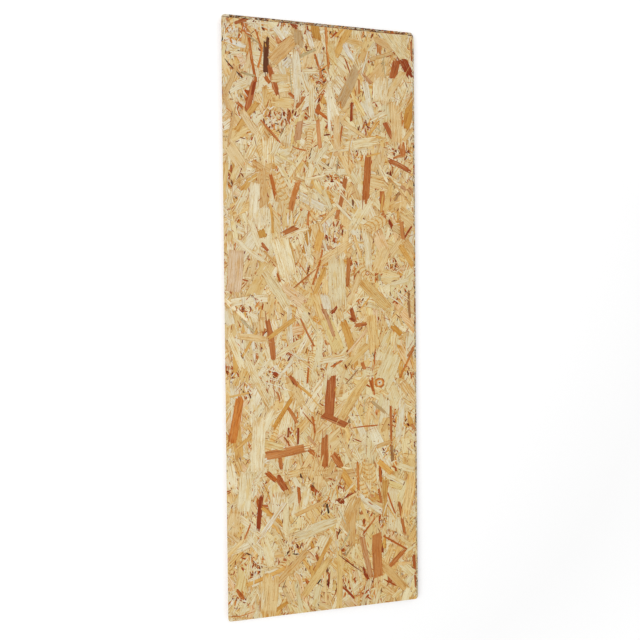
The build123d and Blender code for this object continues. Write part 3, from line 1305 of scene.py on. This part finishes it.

# %% [markdown]
# ## The wood of the strands
#
# The face material takes each strand's own tone, deepens it along its rings, lets
# streaks run darker and paler, and warms it in patches. Beside a strand the wood
# darkens to brown, here and there and not all the way round: this is painted shade,
# as of the thin gap where one strand lies on the next. At its torn ends the wood
# darkens in streaks, where resin gathers. Small resin spots dot the pale wood. Fibres
# stand up a little, so they also feed the bump, and the flattened wood has a faint
# waxy gloss. Where an effect is written as four numbers, the first two say where in
# a pattern it starts and ends, and the last two how strong it is there.

# %% Make the strand materials
WOOD_GLOSS = 0.18
WOOD_IOR = 1.45
SIDE_SHADE_OF_WIDTH, WIDEST_SIDE_SHADE = 0.35, 1.5
UNEVEN_SCALES = (0.05, 0.35)
GRAIN_TINTS = (
    ("Patches", (0.48, 0.72, 0.0, 1.0), (0.95, 0.82, 0.60)),
    ("Streaks", (0.57, 0.70, 0.0, 1.0), (0.80, 0.61, 0.38)),
    ("Streaks", (0.3, 0.5, 1.0, 0.0), (1.09, 1.13, 1.20)),
    ("Fibres", (0.45, 0.75, 0.0, 1.0), (0.87, 0.77, 0.62)),
)
# The brown tint of the painted shade beside a strand's sides.
PAINTED_SIDE_SHADE = (0.64, 0.44, 0.23)
END_TINT = (0.86, 0.70, 0.52)
RESIN_TINT = (0.50, 0.33, 0.20)
SHADE_AT_SIDES = (0.0, 1.0, 1.0, 0.0)
AT_ENDS = (0.0, 0.2, 1.0, 0.0)
HERE_AND_THERE = (0.47, 0.57, 0.05, 1.0)
IN_STREAKS = (0.4, 0.6, 0.0, 1.0)
RESIN_SPOTS = 420.0
SPOT_SOFTNESS = 0.06
ROUGH_FIBRES = (0.3, 0.8)
ROUGHNESS_SPREAD = 0.16
FIBRE_BUMP = {"Strength": 0.35, "Distance": 0.0002}


def attribute(tree, name):
    """A node that reads a point attribute."""
    return add_node(tree, "ShaderNodeAttribute", attribute_type="GEOMETRY", attribute_name=name)


def tinted(tree, colour, factor, tint):
    """A colour multiplied by a tint as far as a factor says."""
    node = add_node(tree, "ShaderNodeMix", data_type="RGBA", blend_type="MULTIPLY")
    sockets = {socket.identifier: socket for socket in node.inputs}
    sockets["B_Color"].default_value = (*tint, 1)
    tree.links.new(colour[0].outputs[colour[1]], sockets["A_Color"])
    tree.links.new(factor[0].outputs[factor[1]], sockets["Factor_Float"])
    outputs = {socket.identifier: index for index, socket in enumerate(node.outputs)}
    return node, outputs["Result_Color"]


def read_strand(tree):
    """The grain of a strand, its rings, an uneven value and how near its rim is."""
    figure = attribute(tree, "figure")
    parts = add_node(tree, "ShaderNodeSeparateColor")
    link(tree, figure, "Color", parts, 0)
    grain = add_node(tree, "ShaderNodeGroup", node_tree=GRAIN)
    strand_map = add_node(tree, "ShaderNodeUVMap", uv_map="grain")
    link(tree, strand_map, "UV", grain, "Place")
    link(tree, parts, "Red", grain, "Seed")
    link(tree, parts, "Blue", grain, "Ring gap")
    link(tree, figure, "Alpha", grain, "Arch")
    rings = calculate(tree, "MULTIPLY", (grain, "Rings"), (parts, "Green"), clamp=True)

    place = add_node(tree, "ShaderNodeSeparateXYZ")
    link(tree, strand_map, "UV", place, 0)
    half_size = add_node(tree, "ShaderNodeSeparateXYZ")
    link(tree, attribute(tree, "half_size"), "Vector", half_size, 0)
    from_end, from_side = [
        calculate(tree, "SUBTRACT", (half_size, axis), calculate(tree, "ABSOLUTE", (place, axis)))
        for axis in "XY"
    ]
    share_of_width = calculate(tree, "MULTIPLY", (half_size, "Y"), SIDE_SHADE_OF_WIDTH)
    side_shade_width = calculate(tree, "MINIMUM", share_of_width, WIDEST_SIDE_SHADE)
    spot = (place, "X"), (place, "Y")
    return SimpleNamespace(
        grain=grain,
        rings=rings,
        end_share=calculate(tree, "DIVIDE", from_end, (half_size, "X")),
        side_share=calculate(tree, "DIVIDE", from_side, side_shade_width),
        uneven=strand_noise(tree, spot, UNEVEN_SCALES, (parts, "Red"), 1.0),
    )


def strand_material(name, ring_tint, rough, spot_level):
    """Pressed softwood strands, each in its own tone."""
    material, tree, shader = new_material(name)
    shader.inputs["Specular IOR Level"].default_value = WOOD_GLOSS
    shader.inputs["IOR"].default_value = WOOD_IOR
    strand = read_strand(tree)
    colour = (attribute(tree, "tone"), "Color")
    colour = tinted(tree, colour, strand.rings, ring_tint)
    for pattern, effect, tint in GRAIN_TINTS:
        share = remap(tree, (strand.grain, pattern), *effect)
        colour = tinted(tree, colour, share, tint)

    # Painted shade: the wood darkens beside a strand's sides, here and there, as in the gap under
    # its rim.
    side = remap(tree, strand.side_share, *SHADE_AT_SIDES)
    here_and_there = remap(tree, strand.uneven, *HERE_AND_THERE)
    margin = calculate(tree, "MULTIPLY", side, here_and_there)
    colour = tinted(tree, colour, margin, PAINTED_SIDE_SHADE)
    end = remap(tree, strand.end_share, *AT_ENDS)
    in_streaks = remap(tree, (strand.grain, "Streaks"), *IN_STREAKS)
    torn = calculate(tree, "MULTIPLY", end, in_streaks)
    colour = tinted(tree, colour, torn, END_TINT)

    place = add_node(tree, "ShaderNodeTexCoord")
    spots = noise(tree, (place, "Object"), RESIN_SPOTS, 1.0)
    resin = remap(tree, spots, spot_level, spot_level + SPOT_SOFTNESS)
    colour = tinted(tree, colour, resin, RESIN_TINT)
    feed(tree, colour, shader, "Base Color")

    fibres = (strand.grain, "Fibres")
    roughness = remap(tree, fibres, *ROUGH_FIBRES, rough, rough + ROUGHNESS_SPREAD)
    feed(tree, roughness, shader, "Roughness")
    add_bump(tree, fibres, shader, FIBRE_BUMP)
    return material


FACE_WOOD = strand_material(
    "pressed_strands", ring_tint=(0.84, 0.59, 0.31), rough=0.56, spot_level=0.70
)
EDGE_WOOD = strand_material(
    "sawn_strands", ring_tint=(0.70, 0.52, 0.36), rough=0.72, spot_level=0.56
)

# %% [markdown]
# ## The heart of the mat
#
# Strands fill the board right through, but only the outer ones show. Behind the
# gaps between them a dark, resin-stained block stands for the rest. It is a box
# kept well inside the sheet, with its corners rounded so that the worn corners
# never cut into it. Its material mottles it and makes it look uneven.

# %% Make the heart
HEART_DEPTH = 1.75
HEART_INSET = 14.0
HEART_CORNER = 24.0
CORNER_SEGMENTS = 4
MOTTLE_SCALE, MOTTLE_DETAIL = 160.0, 3.0
MOTTLES = ((0.35, (84, 48, 24)), (0.7, (140, 88, 44)))
MOTTLE_ROUGHNESS = (0.3, 0.7, 0.7, 0.9)
MOTTLE_BUMP = {"Strength": 0.5, "Distance": 0.0005}


def heart_material():
    """Dark, matt wood stained by resin."""
    material, tree, shader = new_material("resin_stained_heart")
    place = add_node(tree, "ShaderNodeTexCoord")
    mottle = noise(tree, (place, "Object"), MOTTLE_SCALE, MOTTLE_DETAIL)
    ramp = add_node(tree, "ShaderNodeValToRGB")
    for element, (position, colour) in zip(ramp.color_ramp.elements, MOTTLES):
        element.position = position
        element.color = (*linear(colour), 1)
    feed(tree, mottle, ramp, "Fac")
    link(tree, ramp, "Color", shader, "Base Color")
    feed(tree, remap(tree, mottle, *MOTTLE_ROUGHNESS), shader, "Roughness")
    add_bump(tree, mottle, shader, MOTTLE_BUMP)
    return material


def make_heart():
    """A box with rounded corners inside the sheet."""
    mesh = bpy.data.meshes.new("mat_heart")
    heart = bmesh.new()
    bmesh.ops.create_cube(heart, size=1)
    size = (WIDTH - 2 * HEART_INSET, LENGTH - 2 * HEART_INSET, THICKNESS - 2 * HEART_DEPTH)
    bmesh.ops.scale(heart, verts=heart.verts, vec=size)
    uprights = [e for e in heart.edges if abs(e.verts[0].co.z - e.verts[1].co.z) > 1]
    bmesh.ops.bevel(
        heart,
        geom=uprights,
        offset=HEART_CORNER,
        affect="EDGES",
        segments=CORNER_SEGMENTS,
        profile=0.5,
        material=-1,
    )
    bmesh.ops.translate(heart, verts=heart.verts, vec=(0, 0, THICKNESS / 2))
    bmesh.ops.scale(heart, verts=heart.verts, vec=(MM, MM, MM))
    heart.to_mesh(mesh)
    heart.free()
    add_piece("mat_heart", mesh, heart_material())


make_heart()

# %% [markdown]
# ## The worn rim
#
# Along the far edge and the right edge the photo shows a narrow grey strip with
# dark flecks, and a dark line between it and the face. Here the face strands stop
# six to eleven millimetres short of those two edges, each by its own amount. A
# lower rim of small greyish chips fills the strip. Dark slivers along the step of
# the far edge are a painted shadow: the shade under that step, put in as dark wood.

# %% Lay the rim
FAR_RIM = 10.0
FAR_RIM_TAPER = -0.9
RIGHT_RIM = 6.4
STOP_WANDER = 0.6
RIM_SPILL = 50
UNDER_THE_FACE, PAST_THE_EDGE = 3, 1
FAR_RIM_TONES = {
    "cool grey": 12, "grey green": 5, "grey brown": 6, "grey beige": 2, "white": 2,
    "dark brown": 10, "bark": 11, "dark red": 4, "red brown": 2,
}
RIGHT_RIM_TONES = {
    "cool grey": 18, "grey green": 8, "grey beige": 3, "cream": 4, "white": 8, "grey brown": 4,
    "dark brown": 3, "red brown": 1.5, "dark red": 1.5, "bark": 2,
}
# Tones of the dark slivers that paint the shadow under the far step.
STEP_SHADOW_TONES = {"dark brown": 6, "bark": 3, "dark red": 3, "grey brown": 3}
FAR, RIGHT = np.array([0.0, 1.0]), np.array([1.0, 0.0])
RIM_EDGES = ((True, 0.26, FAR_RIM_TONES), (False, 0.74, RIGHT_RIM_TONES))
BACKING_COUNT, BACKING_LEVELS = 560, (0, 13)
BACKING_LENGTHS, BACKING_WIDTHS, BACKING_TURN = (20, 70), (3, 6), 0.05
CHIP_COUNT, CHIP_LEVELS = 2150, (13, 28)
CHIP_WIDTHS, CHIP_SHAPES, CHIP_TURN = (1.6, 4.0), (1.2, 3.2), 0.5
STEP_SHADOW_COUNT, STEP_SHADOW_LEVELS = 76, (28, 32)
STEP_SHADOW_LENGTHS, STEP_SHADOW_WIDTH, STEP_SHADOW_TURN, STEP_SHADOW_OFF = (14, 46), 2.4, 0.01, (0, 1.6)


def far_stop(x):
    """How far along the sheet the face reaches, at a place across it."""
    return LENGTH / 2 - FAR_RIM + FAR_RIM_TAPER * x / (WIDTH / 2)


def stop_short(strands):
    """Ends face strands short of the far and right edges, each by its own amount."""
    for strand in strands:
        far = far_stop(strand.x) + draw.normal(0, STOP_WANDER)
        right = WIDTH / 2 - RIGHT_RIM + draw.normal(0, STOP_WANDER)
        strand.stops = [(FAR * far, FAR), (RIGHT * right, RIGHT)]


def rim_place(on_far_edge):
    """A place in the rim and the direction that it runs in."""
    if on_far_edge:
        x = draw.uniform(-0.5, 0.5) * (WIDTH + RIM_SPILL)
        y = draw.uniform(far_stop(x) - UNDER_THE_FACE, LENGTH / 2 + PAST_THE_EDGE)
        return (x, y), 0.0
    x = draw.uniform(WIDTH / 2 - RIGHT_RIM - UNDER_THE_FACE, WIDTH / 2 + PAST_THE_EDGE)
    return (x, draw.uniform(-0.5, 0.5) * (LENGTH + RIM_SPILL)), UPRIGHT


def lay_rim(pile):
    """The low chips of the rim, and dark slivers beside it as a painted shadow line."""
    pieces = []
    for on_far_edge, share, tones in RIM_EDGES:
        for _ in range(int(BACKING_COUNT * share)):
            place, lie = rim_place(on_far_edge)
            turn = lie + draw.normal(0, BACKING_TURN)
            length, width = draw.uniform(*BACKING_LENGTHS), draw.uniform(*BACKING_WIDTHS)
            backing = make_strand("clean", pick(tones), place, turn, length, width)
            pile.settle(backing, *BACKING_LEVELS)
            pieces.append(backing)
        for _ in range(int(CHIP_COUNT * share)):
            place, lie = rim_place(on_far_edge)
            width = draw.uniform(*CHIP_WIDTHS)
            length = width * draw.uniform(*CHIP_SHAPES)
            turn = lie + draw.normal(0, CHIP_TURN)
            chip = make_strand("crumb", pick(tones), place, turn, length, width)
            pile.settle(chip, *CHIP_LEVELS)
            pieces.append(chip)
    # Painted shadow: a row of dark slivers along the step of the far edge.
    for _ in range(STEP_SHADOW_COUNT):
        x = draw.uniform(-0.5, 0.5) * (WIDTH + RIM_SPILL)
        place = (x, far_stop(x) + draw.uniform(*STEP_SHADOW_OFF))
        length = draw.uniform(*STEP_SHADOW_LENGTHS)
        tone = pick(STEP_SHADOW_TONES)
        shadow_line = make_strand("sliver", tone, place, draw.normal(0, STEP_SHADOW_TURN), length, STEP_SHADOW_WIDTH)
        pile.settle(shadow_line, *STEP_SHADOW_LEVELS)
        pieces.append(shadow_line)
    return pieces


# %% [markdown]
# ## The face
#
# The face is piled up in the order that matters to the eye: the mat first, with
# its splinters and shards, then the patches, threads and dark spots, and the bold
# strands and knots on top. Some last splinters lie over all of them, as they do on
# the real board. Each kind has its own range of levels in the pile.

# %% Lay the face
FACE_BANDS = 6
SPILL = 120
SPREAD = (WIDTH + 70, LENGTH + 90)
LOW_FLAKES, UPPER_FLAKES, UPPER_WIDTH = 3600, 1750, 18
BUNDLES, LAST_BUNDLES = 520, 50
SHARDS, THREADS, SHADED_PITS = 2600, 1450, 1600
BOLD_LEVEL = 56
FACE_FOLD = {"rows": 3, "spare": 72, "margin": 70}


def lay_face():
    """All the strands of the face that can be seen."""
    pile = Pile(WIDTH + SPILL, LENGTH + SPILL)
    rim = lay_rim(pile)
    upper_flakes = scatter_flakes(UPPER_FLAKES, *SPREAD, usual_width=UPPER_WIDTH)
    face = []
    for pieces, lowest, highest in (
        (scatter_flakes(LOW_FLAKES, *SPREAD, tones=LOW_STRAND_TONES), 14, 36),
        (scatter_bundles(BUNDLES, *SPREAD), 20, 46),
        (scatter_shards(SHARDS, *SPREAD), 22, 48),
        (upper_flakes, 28, 56),
        (scatter_specks_and_shade(upper_flakes), 44, 60),
        (patch_shards(), 42, 60),
        (scatter_threads(THREADS, *SPREAD), 46, 60),
        (scatter_shaded_pits(SHADED_PITS, *SPREAD), 50, 60),
    ):
        for strand in pieces:
            pile.settle(strand, lowest, highest)
        face += pieces
    for strand in bold_strands() + knots() + scatter_bundles(LAST_BUNDLES, *SPREAD):
        pile.settle(strand, BOLD_LEVEL, TOP_LEVEL, on_top=True)
        face.append(strand)
    stop_short(face)
    return rim + [strand for strand in face if pile.shows(strand)]


def press_face(name, side, strands, bands):
    """Sorts the strands of a face into bands across it and presses each band."""
    band_width = WIDTH / bands
    numbers = [int(np.clip((s.x + WIDTH / 2) // band_width, 0, bands - 1)) for s in strands]
    for band in range(bands):
        low_side = -WIDTH / 2 + band * band_width
        fold = plan_fold(1, LENGTH, low_side, low_side + band_width, **FACE_FOLD)
        members = [strand for strand, number in zip(strands, numbers) if number == band]
        press(f"{name}_{band + 1}", side, members, fold, FACE_WOOD)


press_face("face_strands", "face", lay_face(), FACE_BANDS)

# %% [markdown]
# ## The underside
#
# The back of the sheet is made the same way from other strands. Nothing of it
# shows in the photo, so it gets no bold strands and no patches.

# %% Lay the underside
UNDERSIDE_BANDS = 4
UNDER_FLAKES, UNDER_BUNDLES, UNDER_SHARDS = 4300, 170, 1300


def lay_underside():
    """All the strands of the underside that can be seen."""
    pile = Pile(WIDTH + SPILL, LENGTH + SPILL)
    mat = []
    for pieces, lowest, highest in (
        (scatter_flakes(UNDER_FLAKES, *SPREAD), 46, 84),
        (scatter_bundles(UNDER_BUNDLES, *SPREAD), 58, TOP_LEVEL),
        (scatter_shards(UNDER_SHARDS, *SPREAD), 58, TOP_LEVEL),
    ):
        for strand in pieces:
            pile.settle(strand, lowest, highest)
        mat += pieces
    return [strand for strand in mat if pile.shows(strand)]


press_face("underside_strands", "underside", lay_underside(), UNDERSIDE_BANDS)

# %% [markdown]
# ## The sawn edges
#
# A sawn edge shows the mat in section: about two dozen layers, each a row of
# strands cut through. In the outer layers the strands run along the sheet, and in
# the middle layers they run across it. So on a long edge the outer layers show
# long lines and the middle ones short ends, and on a short edge it is the other
# way round. Small gaps stay between them and look dark. The outermost skin needs
# nothing, because the strands of the two faces end there.

# %% Lay the edges
EDGE_LAYERS = 22
EDGE_SKIN = 1.3
EDGE_DEPTH = 23.0
OUTER_SHARE = 0.27
LONG_RUN = {"usual": 42, "spread": 0.5, "least": 14, "most": 110}
SHORT_RUN = {"usual": 12, "spread": 0.5, "least": 4, "most": 34}
FIRST_START = 20
LAYER_WANDER = 0.08
GAP_BETWEEN, GAP_SPREAD = -0.4, 1.3
CHANCE_OF_HOLE = 0.03
RUN_OVERLAP = 1.06
LAYER_HEIGHTS = (0.85, 1.3)
EDGE_TURN_SPREAD = math.radians(0.6)
EDGE_SLANT_SPREAD, EDGE_BOW_SPREAD = 0.8, 0.08
EDGE_RING_GAPS = (0.3, 0.8)
BELOW_EDGE = (0.04, 0.34)
CHANCE_OF_PIT, PIT_DEPTH = 0.08, 0.5
EDGE_ROW = 150
LEAST_ROWS = 3
EDGE_SPARE, EDGE_MARGIN = 60, 1.5
EDGE_TONES = {
    "cream": 14, "straw": 14, "honey": 16, "tan": 16, "grey beige": 14, "golden": 6,
    "grey brown": 6, "pink tan": 5, "golden brown": 4, "brown tan": 4, "orange brown": 3,
    "rust": 2, "brown": 3, "red brown": 1.5, "dark brown": 2,
}


def edge_run(lies_along):
    """How much of one strand a sawn edge shows, in millimetres."""
    return usually(**(LONG_RUN if lies_along else SHORT_RUN))


def lay_edge(edge_length, outer_along):
    """The layers of strands that one sawn edge cuts through."""
    strands = []
    step = (THICKNESS - 2 * EDGE_SKIN) / EDGE_LAYERS
    for layer in range(EDGE_LAYERS):
        height = (layer + 0.5) * step - THICKNESS / 2 + EDGE_SKIN
        outer = abs(height) > THICKNESS * (0.5 - OUTER_SHARE)
        start = -edge_length / 2 - draw.uniform(0, FIRST_START)
        while start < edge_length / 2:
            run = edge_run(outer == outer_along)
            place = (start + run / 2, height + draw.normal(0, LAYER_WANDER))
            start += run + max(0.0, draw.normal(GAP_BETWEEN, GAP_SPREAD))
            if draw.random() < CHANCE_OF_HOLE:
                continue
            strands.append(
                make_strand(
                    "edge",
                    pick(EDGE_TONES),
                    place,
                    draw.normal(0, EDGE_TURN_SPREAD),
                    run * RUN_OVERLAP,
                    step * draw.uniform(*LAYER_HEIGHTS),
                    thickness=EDGE_DEPTH,
                    slant=draw.normal(0, EDGE_SLANT_SPREAD),
                    bow=draw.normal(0, EDGE_BOW_SPREAD),
                    arch=0.0,
                    gap=draw.uniform(*EDGE_RING_GAPS),
                    top=-draw.uniform(*BELOW_EDGE) - PIT_DEPTH * (draw.random() < CHANCE_OF_PIT),
                )
            )
    return strands


def press_edge(side, edge_length, outer_along):
    """Makes the layered face of one sawn edge."""
    rows = max(LEAST_ROWS, round(edge_length / EDGE_ROW))
    half = THICKNESS / 2
    fold = plan_fold(0, edge_length, -half, half, rows, EDGE_SPARE, EDGE_MARGIN)
    press(f"{side}_edge_strands", side, lay_edge(edge_length, outer_along), fold, EDGE_WOOD)


for side in ("right", "left"):
    press_edge(side, LENGTH, True)
for side in ("far", "near"):
    press_edge(side, WIDTH, False)

# %% [markdown]
# ## The size
#
# The strands have to stay inside the box of the plain sheet that they replace.
